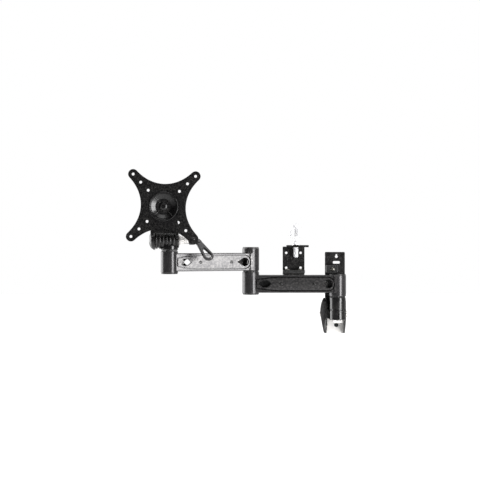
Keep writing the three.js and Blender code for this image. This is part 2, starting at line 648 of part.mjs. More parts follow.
function carrier() {
  const centre = [PIVOT_Y, TILT_Z];
  const back = CARRIER_FRONT + CARRIER_T;
  const bottom = TILT_Z + 17.6;
  const ear = (radius, left, right) => {
    const outline = new THREE.Shape();
    outline.absarc(...centre, radius, Math.PI * 0.93, Math.PI * 2.2);
    outline.lineTo(back, bottom + 12);
    outline.lineTo(CARRIER_FRONT, bottom + 12);
    outline.lineTo(CARRIER_FRONT, bottom - 4);
    return slab(outline, 'yz', left, right, 12);
  };
  const earBack = DRUM_LEFT - GAP;
  const dome = lathe([
    [0, EAR_LEFT], [6, EAR_LEFT + 0.7], [11, EAR_LEFT + 2.8], [14.5, EAR_LEFT + 6],
    [EAR_LEFT_R, earBack], [0, earBack],
  ], 'x', centre, 28);
  const leftEar = join(ear(11, EAR_LEFT + 4, earBack), dome);
  const rightEar = ear(EAR_RIGHT_R, DRUM_RIGHT + GAP, EAR_RIGHT);
  const upright = slab(
    polygon([[EAR_LEFT + 4, bottom], [EAR_RIGHT, bottom], [EAR_RIGHT, bottom + 12],
      [SCREEN_X + 18, SCREEN_Z], [SCREEN_X - 18, SCREEN_Z], [EAR_LEFT + 4, bottom + 12]]),
    'xz', CARRIER_FRONT, back,
  );
  const hub = rod(18, CARRIER_FRONT, back, 'y', [SCREEN_X, SCREEN_Z], 28);
  const tiltHole = rod(TILT_BOLT_R + GAP, EAR_LEFT - 1, EAR_RIGHT + 1, 'x', centre);
  const counterbore = rod(7.1, EAR_LEFT - 1, EAR_LEFT + 5 + GAP, 'x', centre);
  const hubHole = rod(4 + GAP, CARRIER_FRONT - 1, back + 1, 'y', [SCREEN_X, SCREEN_Z]);
  const body = join(leftEar, rightEar, upright, hub);
  piece('tilt_carrier', cut(body, tiltHole, counterbore, hubHole), 'blackPaint', headGroup);
}

function screenPlate() {
  const back = SCREEN_FRONT + SCREEN_T;
  const floor = SCREEN_FRONT + DISH_DEPTH;
  const centre = [SCREEN_X, SCREEN_Z];
  const sheet = slab(screenPlateOutline(), 'xz', SCREEN_FRONT, back, 10);
  const holes = HOLE_STEPS.flatMap((step) => [-1, 1].flatMap((sx) => [-1, 1].map((sz) =>
    rod(SCREW_HOLE_R, SCREEN_FRONT - 1, back + 1, 'y', onScreenPlate(sx * step, sz * step), 12))));
  const opening = rod(DISH_R - 0.5, SCREEN_FRONT - 1, back + 1, 'y', centre, 28);
  const dish = lathe([
    [DISH_R, SCREEN_FRONT], [13, floor], [4 + GAP, floor], [4 + GAP, floor + 2.5],
    [14, floor + 2.5], [DISH_R, back],
  ], 'y', centre, 28);
  piece('screen_plate', join(cut(sheet, opening, ...holes), dish), 'blackPaint', headGroup);
  const floorBack = floor + 2.5;
  const hubWasher = ring(16, 4 + GAP, floorBack + GAP, CARRIER_FRONT - GAP, 'y', centre);
  piece('hub_washer', hubWasher, 'nylon', headGroup);
  const boltHead = rod(6.8, floor - GAP - 3, floor - GAP, 'y', centre);
  const nutLow = CARRIER_FRONT + CARRIER_T + GAP;
  const shank = rod(4, floor - GAP - 1, nutLow + 9, 'y', centre);
  piece('hub_bolt', join(boltHead, shank), 'blackPaint', headGroup);
  const springWasher = ring(7.5, 4 + GAP, nutLow, nutLow + 1.8, 'y', centre);
  piece('hub_spring_washer', springWasher, 'steel', headGroup);
  const nut = hexNut(7.5, 4 + GAP, nutLow + 1.8 + GAP, nutLow + 8, 'y', centre);
  piece('hub_nut', nut, 'blackPaint', headGroup);
}

// The clamp lever is drawn hanging straight down and then leant forward about the tilt axis.
function clampLever() {
  const bossRight = LEVER_LEFT + 12;
  const front = PIVOT_Y - 3;
  const back = PIVOT_Y + 3;
  const root = [bossRight - 3, TILT_Z - 1];
  const collarAt = [bossRight + 3, TILT_Z - 3.5];
  const tip = [LEVER_TIP_X, TILT_Z - LEVER_REACH];
  const boss = rod(7.6, LEVER_LEFT, bossRight, 'x', [PIVOT_Y, TILT_Z], 28);
  const neck = slab(taperedLoop(root, 4.4, collarAt, 4.2), 'xz', front - 1, back + 1);
  const handle = slab(taperedLoop(collarAt, 4.2, tip, 8.2), 'xz', front, back, 10);
  const windowTop = [LEVER_TIP_X - 8, tip[1] + 14];
  const window = slab(taperedLoop(windowTop, 1.6, tip, 4.6), 'xz', front - 1, back + 1, 8);
  const threads = rod(TILT_BOLT_R + GAP, LEVER_LEFT - 1, bossRight + 1, 'x', [PIVOT_Y, TILT_Z]);
  const geometry = geometryOf(cut(join(boss, neck, handle), window, threads));
  geometry.translate(0, -PIVOT_Y, -TILT_Z);
  geometry.rotateX(-LEVER_LEAN);
  geometry.translate(0, PIVOT_Y, TILT_Z);
  piece('clamp_lever', solidOf(geometry), 'greyPaint', headGroup);
}

wallPlate();
wallBracket();
liftStop();
wallPost();
swingLock();
arms();
standBracket();
thumbScrew();
knuckle();
tiltHardware();
carrier();
screenPlate();
clampLever();
swingOut();

export default arm;
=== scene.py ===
import json
import math

import bmesh
import bpy
from mathutils import Matrix, Vector


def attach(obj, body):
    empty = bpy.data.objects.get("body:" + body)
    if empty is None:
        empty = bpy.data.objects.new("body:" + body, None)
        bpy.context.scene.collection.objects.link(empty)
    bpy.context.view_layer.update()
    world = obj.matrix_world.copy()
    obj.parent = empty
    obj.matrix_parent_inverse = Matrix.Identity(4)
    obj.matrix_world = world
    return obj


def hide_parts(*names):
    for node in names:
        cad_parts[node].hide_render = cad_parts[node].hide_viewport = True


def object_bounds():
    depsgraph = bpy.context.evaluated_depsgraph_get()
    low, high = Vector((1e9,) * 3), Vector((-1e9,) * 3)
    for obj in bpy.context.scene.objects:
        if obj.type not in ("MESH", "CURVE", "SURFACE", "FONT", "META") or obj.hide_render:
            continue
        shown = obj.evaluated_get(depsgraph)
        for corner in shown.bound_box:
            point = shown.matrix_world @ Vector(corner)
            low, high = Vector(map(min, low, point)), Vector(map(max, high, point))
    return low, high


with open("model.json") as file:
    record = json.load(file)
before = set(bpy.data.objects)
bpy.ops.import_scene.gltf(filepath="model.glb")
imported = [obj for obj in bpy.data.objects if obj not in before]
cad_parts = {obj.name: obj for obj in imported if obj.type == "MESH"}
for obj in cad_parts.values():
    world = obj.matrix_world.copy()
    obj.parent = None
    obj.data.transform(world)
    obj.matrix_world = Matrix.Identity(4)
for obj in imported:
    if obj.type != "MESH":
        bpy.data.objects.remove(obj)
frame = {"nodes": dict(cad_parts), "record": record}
cad_low, cad_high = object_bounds()

# ---------------------------------------------------------------- dimensions, in millimetres

MM = 0.001
GAP = 0.3
PIVOT_Y = -32.0
WALL_X = 2.5
ELBOW_X = -142.5
HEAD_X = -287.5  # with the arms in line
SWING = math.radians(24)
BARREL_R = 14.0
BORE_R = 7.5
PIN_R = 5.5
WASHER_T = 1.2
CAP_T = 1.2
ARM_FRONT = -43.5
ARM_BACK = -20.5
ARM_HALF = 14.7
CHANNEL_DEPTH = 15.0
CHANNEL_HALF = 7.5
CABLE_HOLE_R = 7.2
GROOVE, GROOVE_DEPTH = 1.7, 5.5
UPPER_ARM_Z, FOREARM_Z = 16.0, 52.8
WALL_BARREL_TOP = 30.8
ELBOW_LOWER = (-0.6, 36.0)
ELBOW_TOP = 75.7
HEAD_BARREL = (35.4, 71.0)
POCKET_DEPTH = 2.3
COVER_INSET, CABLE_HOLE_INSET, SCOOP_INSET = 10.5, 16, 23
LEFT_SCREW_INSET, RIGHT_SCREW_INSET = 50, 24
TEARDROP, CHUTE_SLOPE = 13, 0.8
PLATE_HALF = 16.8
PLATE_TOP = 68.8
PLATE_T = 2.0
WEB_T = 2.7
KEYHOLE_Z, LOWER_HOLE_Z = 61, -55
STOP_TOP = 47
WEB_BOTTOM = -44.0
CHEEK_T = 2.5
CLAMP_TOP = -6.6
LOCK_Y, LOCK_Z = -19.0, -35.0
LOCK_BOLT_R = 2.5
SCREEN_X, SCREEN_Z = -295.9, 142.8
SCREEN_ROLL = math.radians(2.1)
SCREEN_FRONT = -60.0
SCREEN_T = 3.0
DISH_R = 24.0
TILT_Z = 88.8
DRUM_R, DRUM_GROOVE_R = 14.2, 12.5
DRUM_LEFT, DRUM_RIGHT = -310.5, -276.5
EAR_LEFT, EAR_RIGHT = -321.0, -272.0
TILT_BOLT_R = 4.0
CARRIER_FRONT, CARRIER_BACK = -51.1, -46.1
LEVER_LEFT, LEVER_RIGHT = -256.0, -244.0
LEVER_TIP_X, LEVER_REACH = -223.6, 34.6
LEVER_LEAN = math.radians(42)
STAND_LEFT, STAND_RIGHT, STAND_TOP, STAND_T = -89.0, -52.4, 78.0, 2.5
STAND_BACK = -21.5
THUMB_X, THUMB_Y = -67.0, -34.0

# ---------------------------------------------------------------- outlines


def arc(centre, radius, start, end, steps):
    """Points of an arc; angles in degrees, anticlockwise when end is above start."""
    return [
        (
            centre[0] + radius * math.cos(math.radians(start + (end - start) * i / steps)),
            centre[1] + radius * math.sin(math.radians(start + (end - start) * i / steps)),
        )
        for i in range(steps + 1)
    ]


def curve(a, b, c, steps, d=None):
    """Points of a quadratic or cubic curve, without its first point."""
    points = []
    for i in range(1, steps + 1):
        t = i / steps
        s = 1 - t
        weights = (s * s, 2 * s * t, t * t) if d is None else (s**3, 3 * s * s * t, 3 * s * t * t, t**3)
        controls = (a, b, c) if d is None else (a, b, c, d)
        points.append(tuple(sum(w * p[k] for w, p in zip(weights, controls)) for k in (0, 1)))
    return points


def rounded(points, radius, steps=4, corners=None):
    """A closed outline with its corners filleted; corners lists the ones to round."""
    result = []
    count = len(points)
    for i, point in enumerate(points):
        if corners is not None and i not in corners:
            result.append(tuple(point))
            continue
        here = Vector(point)
        sides = [Vector(points[i - 1]) - here, Vector(points[(i + 1) % count]) - here]
        ends = [here + side.normalized() * min(radius, 0.48 * side.length) for side in sides]
        result.append(tuple(ends[0]))
        result += curve(ends[0], here, ends[1], steps)
    return result


def rectangle(left, bottom, right, top):
    return [(left, bottom), (right, bottom), (right, top), (left, top)]


def tapered_loop(first, r1, second, r2, steps=16):
    heading = math.degrees(math.atan2(second[1] - first[1], second[0] - first[0]))
    flare = math.degrees(math.acos((r1 - r2) / math.dist(first, second)))
    return arc(second, r2, heading - flare, heading + flare, steps) + arc(
        first, r1, heading + flare, heading + 360 - flare, steps
    )


def leaf(x, z, length, height, steps=14):
    left, right = (x - length, z), (x + length, z)
    return curve(left, (x, z - 2 * height), right, steps) + curve(right, (x, z + 2 * height), left, steps)


def lens(left, right, z, margin):
    """The arm cover: blunt and narrow at the left, full height at the right."""
    tip = 6.2 + margin
    half = ARM_HALF - 4.4 + margin
    start, end, swell = left - margin, right + margin, 45
    points = [(start, z - tip)]
    points += curve((start, z - tip), (start + swell / 2, z - half), (start + swell, z - half), 16)
    points += [(end - half, z - half)]
    points += curve((end - half, z - half), (end, z - half), (end, z), 12)
    points += curve((end, z), (end, z + half), (end - half, z + half), 12)
    points += [(start + swell, z + half)]
    points += curve((start + swell, z + half), (start + swell / 2, z + half), (start, z + tip), 16)
    return points


# ---------------------------------------------------------------- solids


def to_object(bm):
    bmesh.ops.recalc_face_normals(bm, faces=bm.faces)
    mesh = bpy.data.meshes.new("solid")
    bm.to_mesh(mesh)
    bm.free()
    obj = bpy.data.objects.new("solid", mesh)
    bpy.context.scene.collection.objects.link(obj)
    return obj


def slab(outline, plane, low, high):
    """An outline in the named plane, made solid from low to high along the remaining axis."""
    place = {
        "xy": lambda u, v, w: (u, v, w),
        "xz": lambda u, v, w: (u, w, v),
        "yz": lambda u, v, w: (w, u, v),
    }[plane]
    bm = bmesh.new()
    bottom = [bm.verts.new(place(u, v, low)) for u, v in outline]
    top = [bm.verts.new(place(u, v, high)) for u, v in outline]
    bm.faces.new(bottom)
    bm.faces.new(top)
    for i in range(len(outline)):
        j = (i + 1) % len(outline)
        bm.faces.new((bottom[i], bottom[j], top[j], top[i]))
    bmesh.ops.remove_doubles(bm, verts=bm.verts, dist=1e-4)
    return to_object(bm)


def cuboid(low, high):
    return slab(rectangle(low[0], low[1], high[0], high[1]), "xy", low[2], high[2])


def turned(profile, axis, centre, steps=56):
    """A closed profile of (radius, height) turned about a line along the axis."""
    place = {
        "x": lambda a, b, w: (w, centre[0] + a, centre[1] + b),
        "y": lambda a, b, w: (centre[0] + a, w, centre[1] + b),
        "z": lambda a, b, w: (centre[0] + a, centre[1] + b, w),
    }[axis]
    bm = bmesh.new()
    rings = []
    for radius, height in profile:
        if radius < 1e-6:
            rings.append([bm.verts.new(place(0, 0, height))])
            continue
        angles = [2 * math.pi * i / steps for i in range(steps)]
        rim = [(radius * math.cos(a), radius * math.sin(a)) for a in angles]
        rings.append([bm.verts.new(place(u, v, height)) for u, v in rim])
    for k, ring in enumerate(rings):
        after = rings[(k + 1) % len(rings)]
        for i in range(steps):
            j = (i + 1) % steps
            corners = []
            here = (ring[i % len(ring)], ring[j % len(ring)])
            for vert in (*here, after[j % len(after)], after[i % len(after)]):
                if vert not in corners:
                    corners.append(vert)
            if len(corners) > 2:
                bm.faces.new(corners)
    return to_object(bm)


def rod(radius, low, high, axis, centre, edge=0.0, steps=56):
    profile = [(0, low), (radius, low), (radius, high), (0, high)]
    return turned(rounded(profile, edge, 4, (1, 2)) if edge else profile, axis, centre, steps)


def tube(outer, inner, low, high, axis, centre, edge=0.3):
    return turned(rounded([(inner, low), (outer, low), (outer, high), (inner, high)], edge, 3), axis, centre)


def baked(obj):
    graph = bpy.context.evaluated_depsgraph_get()
    mesh = bpy.data.meshes.new_from_object(obj.evaluated_get(graph))
    obj.modifiers.clear()
    obj.data = mesh
    return obj


def combined(base, tools, operation):
    for tool in tools:
        modifier = base.modifiers.new("combine", "BOOLEAN")
        modifier.operation = operation
        modifier.solver = "EXACT"
        modifier.object = tool
        baked(base)
        bpy.data.objects.remove(tool)
    return base


def join(base, *tools):
    return combined(base, tools, "UNION")


def cut(base, *tools):
    return combined(base, tools, "DIFFERENCE")


def common(base, tool):
    return combined(base, [tool], "INTERSECT")


def softened(obj, width, segments=2, angle=38):
    bm = bmesh.new()
    bm.from_mesh(obj.data)
    bmesh.ops.remove_doubles(bm, verts=bm.verts, dist=0.004)
    bmesh.ops.dissolve_limit(bm, angle_limit=math.radians(1), verts=bm.verts, edges=bm.edges)
    bm.to_mesh(obj.data)
    bm.free()
    modifier = obj.modifiers.new("soften", "BEVEL")
    modifier.width = width
    modifier.segments = segments
    modifier.limit_method = "ANGLE"
    modifier.angle_limit = math.radians(angle)
    modifier.miter_outer = "MITER_ARC"
    return baked(obj)


def moved(obj, matrix):
    obj.data.transform(matrix)
    return obj


def about(point, matrix):
    return Matrix.Translation(point) @ matrix @ Matrix.Translation(-Vector(point))


def hexagon(radius, low, high, axis, centre, bore=0.0):
    """A hexagon bar with turned chamfers at both ends, and a bore if it is a nut."""
    plane = {"x": "yz", "y": "xz", "z": "xy"}[axis]
    bar = slab(arc(centre, radius, 0, 300, 5), plane, low, high)
    chamfer = radius * 0.12
    common(bar, turned(
        [(0, low), (radius - chamfer * 1.2, low), (radius, low + chamfer * 0.7),
         (radius, high - chamfer * 0.7), (radius - chamfer * 1.2, high), (0, high)], axis, centre))
    if bore:
        cut(bar, rod(bore, low - 1, high + 1, axis, centre, steps=32))
    return bar


def button_head(radius, face, back, axis, centre, socket):
    """A screw head with a domed top at face and a hexagon socket in it."""
    way = 1 if back > face else -1
    height = abs(back - face)
    profile = [(0, face), (radius * 0.55, face + way * height * 0.06),
               (radius * 0.85, face + way * height * 0.35), (radius, face + way * height * 0.8),
               (radius, back), (0, back)]
    head = turned(rounded(profile, 0.5, 3, (2, 3)), axis, centre, 40)
    ends = sorted((face - way, face + way * height * 0.6))
    plane = {"x": "yz", "y": "xz", "z": "xy"}[axis]
    return cut(head, slab(arc(centre, socket, 0, 300, 5), plane, *ends))


# ---------------------------------------------------------------- finishes


# Painted shade: how far the ambient-occlusion probe reaches when it darkens recesses, and the near-black it
# blends towards
PAINTED_SHADE_REACH = 0.004  # metres
PAINTED_SHADE_COLOUR = (0.001, 0.001, 0.001)


def finish(slot, colour, second, roughness, metallic, grain, bump, worn, patch=55.0, spread=0.07, coat=0.0):
    """A painted, plated or moulded surface: clouded colour, fine grain, rubbed edges and painted shade in
    recesses.
    """
    material = bpy.data.materials.new(slot)
    material.use_nodes = True
    tree = material.node_tree
    shader = tree.nodes["Principled BSDF"]
    shader.inputs["Metallic"].default_value = metallic
    shader.inputs["Coat Weight"].default_value = coat
    shader.inputs["Coat Roughness"].default_value = 0.18
    place = tree.nodes.new("ShaderNodeTexCoord")

    def noise(scale, detail):
        texture = tree.nodes.new("ShaderNodeTexNoise")
        texture.inputs["Scale"].default_value = scale
        texture.inputs["Detail"].default_value = detail
        tree.links.new(place.outputs["Object"], texture.inputs["Vector"])
        return texture.outputs["Fac"]

    def mapped(source, low, high, from_low=0.3, from_high=0.7):
        node = tree.nodes.new("ShaderNodeMapRange")
        limits = {"From Min": from_low, "From Max": from_high, "To Min": low, "To Max": high}
        for name, value in limits.items():
            node.inputs[name].default_value = value
        tree.links.new(source, node.inputs["Value"])
        return node.outputs["Result"]

    def blended(factor, first, other):
        node = tree.nodes.new("ShaderNodeMix")
        node.data_type = "RGBA"
        tree.links.new(factor, node.inputs[0])
        for socket, value in ((node.inputs[6], first), (node.inputs[7], other)):
            if isinstance(value, tuple):
                socket.default_value = (*value, 1)
            else:
                tree.links.new(value, socket)
        return node.outputs[2]

    cloud = noise(patch, 4)
    fine = noise(grain, 3)
    edge = tree.nodes.new("ShaderNodeAttribute")
    edge.attribute_name = "wear"
    rubbed = tree.nodes.new("ShaderNodeMath")
    rubbed.operation = "MULTIPLY"
    tree.links.new(edge.outputs["Fac"], rubbed.inputs[0])
    tree.links.new(mapped(noise(320, 5), 0, 1, 0.42, 0.66), rubbed.inputs[1])
    tint = blended(mapped(cloud, 0, 1), colour, second)
    surface = blended(rubbed.outputs[0], tint, worn)
    # Painted shade: ambient occlusion blends the base colour towards near-black in grooves, creases and
    # recesses
    occlusion = tree.nodes.new("ShaderNodeAmbientOcclusion")
    occlusion.inputs["Distance"].default_value = PAINTED_SHADE_REACH
    occlusion.only_local = True
    openness = mapped(occlusion.outputs["AO"], 0, 1, 0.15, 0.55)
    tree.links.new(blended(openness, PAINTED_SHADE_COLOUR, surface), shader.inputs["Base Color"])
    gloss = tree.nodes.new("ShaderNodeMath")
    gloss.operation = "ADD"
    tree.links.new(mapped(fine, roughness - spread, roughness + spread), gloss.inputs[0])
    tree.links.new(mapped(cloud, -0.04, 0.05), gloss.inputs[1])
    tree.links.new(gloss.outputs[0], shader.inputs["Roughness"])
    relief = tree.nodes.new("ShaderNodeBump")
    relief.inputs["Strength"].default_value = bump
    relief.inputs["Distance"].default_value = 0.0002
    tree.links.new(fine, relief.inputs["Height"])
    tree.links.new(relief.outputs["Normal"], shader.inputs["Normal"])
    return material


LOOKS = {
    "grey_paint": dict(
        colour=(0.030, 0.029, 0.030), second=(0.036, 0.0345, 0.036), worn=(0.15, 0.145, 0.14),
        roughness=0.27, metallic=0.5, grain=2600, bump=0.08, spread=0.04, coat=0.1),
    "black_paint": dict(
        colour=(0.003, 0.0028, 0.003), second=(0.0048, 0.0045, 0.0048), worn=(0.05, 0.048, 0.046),
        roughness=0.24, metallic=0.0, grain=3400, bump=0.08, spread=0.04),
    "black_plastic": dict(
        colour=(0.004, 0.004, 0.0043), second=(0.007, 0.007, 0.007), worn=(0.03, 0.03, 0.03),
        roughness=0.38, metallic=0.0, grain=4200, bump=0.3),
    "nylon": dict(
        colour=(0.012, 0.012, 0.013), second=(0.018, 0.018, 0.018), worn=(0.04, 0.04, 0.04),
        roughness=0.5, metallic=0.0, grain=2400, bump=0.3),
    "zinc": dict(
        colour=(0.84, 0.82, 0.80), second=(0.78, 0.76, 0.74), worn=(0.9, 0.89, 0.87),
        roughness=0.38, metallic=0.35, grain=900, bump=0.2, patch=160),
    "steel": dict(
        colour=(0.17, 0.165, 0.14), second=(0.13, 0.125, 0.11), worn=(0.5, 0.49, 0.46),
        roughness=0.32, metallic=0.95, grain=1500, bump=0.2),
    # Chrome knob: a plated finish, with a near-white base colour and little metallic so its whiteness is
    # partly a painted reflection of the white studio
    "chrome": dict(
        colour=(0.96, 0.96, 0.97), second=(0.91, 0.91, 0.93), worn=(0.98, 0.98, 0.98),
        roughness=0.24, metallic=0.35, grain=700, bump=0.15, patch=120, spread=0.04),
}
FINISHES = {slot: finish(slot, **look) for slot, look in LOOKS.items()}

BODY_OF = {n: body for body, nodes in frame["record"]["behaviour"]["bodies"].items() for n in nodes}
SLOT_OF = {part["node"]: part["material_slot"] for part in frame["record"]["subparts"]}
for node_name, cad_node in frame["nodes"].items():
    cad_node.data.materials.clear()
    cad_node.data.materials.append(FINISHES[SLOT_OF[node_name]])

ELBOW = Vector((ELBOW_X, PIVOT_Y, 0))
REACH = Vector((HEAD_X - ELBOW_X, 0, 0))
TURN = Matrix.Rotation(SWING, 4, "Z")
SWUNG = about(ELBOW, TURN)
SHIFTED = Matrix.Translation(TURN @ REACH - REACH)
PLACES = {"forearm": SWUNG, "head": SHIFTED, "clamp_lever": SHIFTED, "tilt": SHIFTED, "screen": SHIFTED}


def mark_wear(mesh):
    """Stores how sharply the surface bends outwards at each point."""
    bm = bmesh.new()
    bm.from_mesh(mesh)
    values = []
    for vert in bm.verts:
        bends = [e.calc_face_angle_signed(0) for e in vert.link_edges if len(e.link_faces) == 2]
        values.append(min(1.0, max(0.0, (max(bends, default=0) - 0.2) / 0.5)))
    bm.free()
    mesh.attributes.new("wear", "FLOAT", "POINT").data.foreach_set("value", values)


def piece(obj, node):
    """Places a finished solid for one CAD node: real size, finish, body and slot."""
    body = BODY_OF[node]
    obj.data.transform(Matrix.Scale(MM, 4) @ PLACES.get(body, Matrix.Identity(4)))
    obj.name = node + "_look"
    obj.data.materials.clear()
    obj.data.materials.append(FINISHES[SLOT_OF[node]])
    mark_wear(obj.data)
    obj.data.shade_smooth()
    obj.data.set_sharp_from_angle(angle=math.radians(34))
    obj.modifiers.new("weighted", "WEIGHTED_NORMAL").keep_sharp = True
    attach(obj, body)
    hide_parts(node)


# ---------------------------------------------------------------- wall mount


def wall_holes(low, high):
    slot = rounded(rectangle(WALL_X - 6, 49, WALL_X + 6, 53.4), 2.1)
    return [
        rod(2.4, low, high, "y", (WALL_X, KEYHOLE_Z)),
        cuboid((WALL_X - 1.3, low, KEYHOLE_Z), (WALL_X + 1.3, high, KEYHOLE_Z + 4)),
        slab(slot, "xz", low, high),
        rod(2.6, low, high, "y", (WALL_X, LOWER_HOLE_Z)),
    ]


def plate_outline(bottom):
    return rounded(rectangle(-PLATE_HALF, bottom, PLATE_HALF, PLATE_TOP), 1.8)


def wall_mount():
    plate = slab(plate_outline(-PLATE_TOP), "xz", -PLATE_T, 0)
    piece(softened(cut(plate, *wall_holes(-PLATE_T - 1, 1)), 0.25), "wall_plate")
    hole = (WALL_X, LOWER_HOLE_Z)
    plug = rod(3.4, -PLATE_T - GAP - 0.8, -PLATE_T - GAP, "y", hole, 0.35)
    piece(join(plug, rod(2.3, -PLATE_T - 0.5, -0.4, "y", hole, steps=40)), "foot_plug")

    back = -PLATE_T - GAP
    front = back - WEB_T
    side = [(back, -PLATE_TOP), (back, CLAMP_TOP), (-24, CLAMP_TOP - 2), (-30, CLAMP_TOP - 8),
            (-31, LOCK_Z - 8), (-22, -55), (-6, -PLATE_TOP)]
    side = rounded(side, 3, 4, (2, 3, 4, 5, 6))
    centre = (WALL_X, PIVOT_Y)
    barrel = rod(BARREL_R - 0.4, WEB_BOTTOM, CLAMP_TOP, "z", centre, 1.2)
    bracket = join(
        slab(plate_outline(WEB_BOTTOM), "xz", front, back),
        slab(side, "yz", -PLATE_HALF, -PLATE_HALF + CHEEK_T),
        slab(side, "yz", PLATE_HALF - CHEEK_T, PLATE_HALF),
        cuboid((-PLATE_HALF + 1, PIVOT_Y + 2, LOCK_Z - 7), (PLATE_HALF - 1, back - 1, LOCK_Z + 7)),
        barrel,
    )
    band_gap = tube(BARREL_R + 2, BARREL_R - 3, -28.4, -26.8, "z", centre, 0.1)
    cut(band_gap, cuboid((-30, PIVOT_Y + 1, -40), (30, PIVOT_Y + 30, 0)))
    cut(
        bracket,
        cuboid((WALL_X - 0.6, PIVOT_Y - 20, WEB_BOTTOM - 1), (WALL_X + 0.6, PIVOT_Y, -27.6)),
        band_gap,
        rod(PIN_R + GAP, WEB_BOTTOM - 1, CLAMP_TOP + 1, "z", centre),
        rod(LOCK_BOLT_R + GAP, -PLATE_HALF - 1, PLATE_HALF + 1, "x", (LOCK_Y, LOCK_Z)),
        *wall_holes(front - 1, back + 1),
    )
    piece(softened(bracket, 0.35), "wall_bracket")

    stop_bottom = WALL_BARREL_TOP + 3 * GAP + CAP_T
    place = (-5, (stop_bottom + STOP_TOP) / 2)
    stop = slab(rounded(rectangle(-16, stop_bottom, 4, STOP_TOP), 3), "xz", -24, front - GAP)
    cut(stop, rod(2 + GAP, -26, front, "y", place))
    piece(softened(stop, 0.9, 3), "lift_stop")
    screw = button_head(3.4, -26.3, -24.3, "y", place, 1.5)
    piece(join(screw, rod(2, -24.8, front - GAP, "y", place)), "lift_stop_screw")
    nut_top = WEB_BOTTOM - GAP
    piece(hexagon(8, nut_top - 5, nut_top, "z", centre, PIN_R + GAP), "wall_post_nut")


def swing_lock():
    centre = (LOCK_Y, LOCK_Z)
    edge = PLATE_HALF + GAP
    bolt = rod(LOCK_BOLT_R, -edge - 8, edge + 5.5, "x", centre, 0.4)
    piece(join(bolt, rod(4.2, -edge - 10, -edge - 7.4, "x", centre, 0.8)), "lock_bolt")
    piece(tube(6.2, LOCK_BOLT_R + GAP, edge, edge + 1.2, "x", centre), "lock_washer")
    piece(hexagon(6, edge + 1.5, edge + 5, "x", centre, LOCK_BOLT_R + GAP), "lock_nut")
    inner = -edge
    outline = [(inner, LOCK_Z + 27), (inner - 3, LOCK_Z + 27)]
    outline += curve(outline[-1], (inner - 10, LOCK_Z + 15), (inner - 8, LOCK_Z - 2), 12)
    outline += curve(outline[-1], (inner - 6, LOCK_Z - 18), (inner - 2.5, LOCK_Z - 32), 12)
    outline += [(inner - 0.4, LOCK_Z - 32)]
    outline += curve(outline[-1], (inner - 2.2, LOCK_Z - 18), (inner, LOCK_Z - 8), 12)
    lever = slab(outline, "xz", LOCK_Y - 8, LOCK_Y + 8)
    paddle = tapered_loop((LOCK_Y, LOCK_Z + 20), 7, (LOCK_Y, LOCK_Z - 28), 4)
    common(lever, slab(paddle, "yz", inner - 12, inner + 1))
    cut(lever, rod(LOCK_BOLT_R + GAP, inner - 12, inner + 1, "x", centre),
        rod(4.2 + GAP, inner - 12, inner - 7.1, "x", centre))
    piece(softened(lever, 0.8, 3), "lock_lever")


# ---------------------------------------------------------------- arms


def arm_places(left, right):
    """Where the cable hole, the scoop and the cover screws sit, and the cover's two ends."""
    hole = right - CABLE_HOLE_INSET
    screws = (left + LEFT_SCREW_INSET, hole - RIGHT_SCREW_INSET)
    return hole, left + SCOOP_INSET, screws, (left + COVER_INSET, hole + CABLE_HOLE_R + 1.5)


def casting(name, left, right, z, left_barrel, right_barrel, exit_at_back):
    hole, scoop, screws, cover_ends = arm_places(left, right)
    low, high = z - ARM_HALF, z + ARM_HALF
    beam = slab(rounded(rectangle(ARM_FRONT, low, ARM_BACK, high), 1.6, 6), "yz", left, right)
    block_left = hole + CABLE_HOLE_R + 2.5
    block = slab(rounded(rectangle(PIVOT_Y - BARREL_R, low, PIVOT_Y, high), 2, 5), "yz", block_left, right)
    barrels = [rod(BARREL_R, *reach, "z", (x, PIVOT_Y), 1.3, 72)
               for x, reach in ((left, left_barrel), (right, right_barrel))]
    body = join(beam, block, *barrels)
    floor = ARM_FRONT + POCKET_DEPTH
    groove = cut(slab(lens(*cover_ends, z, GROOVE), "xz", ARM_FRONT, ARM_FRONT + GROOVE_DEPTH),
                 slab(lens(*cover_ends, z, 0.1), "xz", ARM_FRONT - 1, ARM_FRONT + GROOVE_DEPTH + 1))
    cut(
        body,
        slab(lens(*cover_ends, z, GROOVE), "xz", ARM_FRONT - 4, floor),
        groove,
        cuboid((left + BORE_R + 5.5, ARM_FRONT, z - CHANNEL_HALF),
               (hole + CABLE_HOLE_R - 1.5, ARM_FRONT + CHANNEL_DEPTH, z + CHANNEL_HALF)),
        rod(BORE_R, left_barrel[0] - 1, left_barrel[1] + 1, "z", (left, PIVOT_Y)),
        rod(BORE_R, right_barrel[0] - 1, right_barrel[1] + 1, "z", (right, PIVOT_Y)),
    )
    join(body, *[rod(3.2, floor, ARM_FRONT + CHANNEL_DEPTH + 1, "y", (x, z), steps=32) for x in screws])
    cut(body, *[rod(1.6, ARM_FRONT, floor + 6, "y", (x, z), steps=24) for x in screws])
    if exit_at_back:
        cut(body, slab(leaf(scoop + 11, z, 7.5, 5), "xz", ARM_FRONT + CHANNEL_DEPTH - 1, ARM_BACK + 1))
    piece(softened(body, 0.4), name)


def chute(hole, z):
    """The sloping floor of the teardrop, running down into the cable hole."""
    floor = slab(tapered_loop((hole - TEARDROP, z), 0.9, (hole, z), CABLE_HOLE_R + 0.1, 24), "xz", -1, 1)
    for vert in floor.data.vertices:
        thickness = 1.5 if vert.co.y > 0 else 0
        vert.co.y = ARM_FRONT + CHUTE_SLOPE * (vert.co.x - hole + TEARDROP + 0.6) + thickness
    return common(floor, cuboid((hole - 20, ARM_FRONT - 2, z - 9), (hole + 0.5, ARM_FRONT + 11, z + 9)))


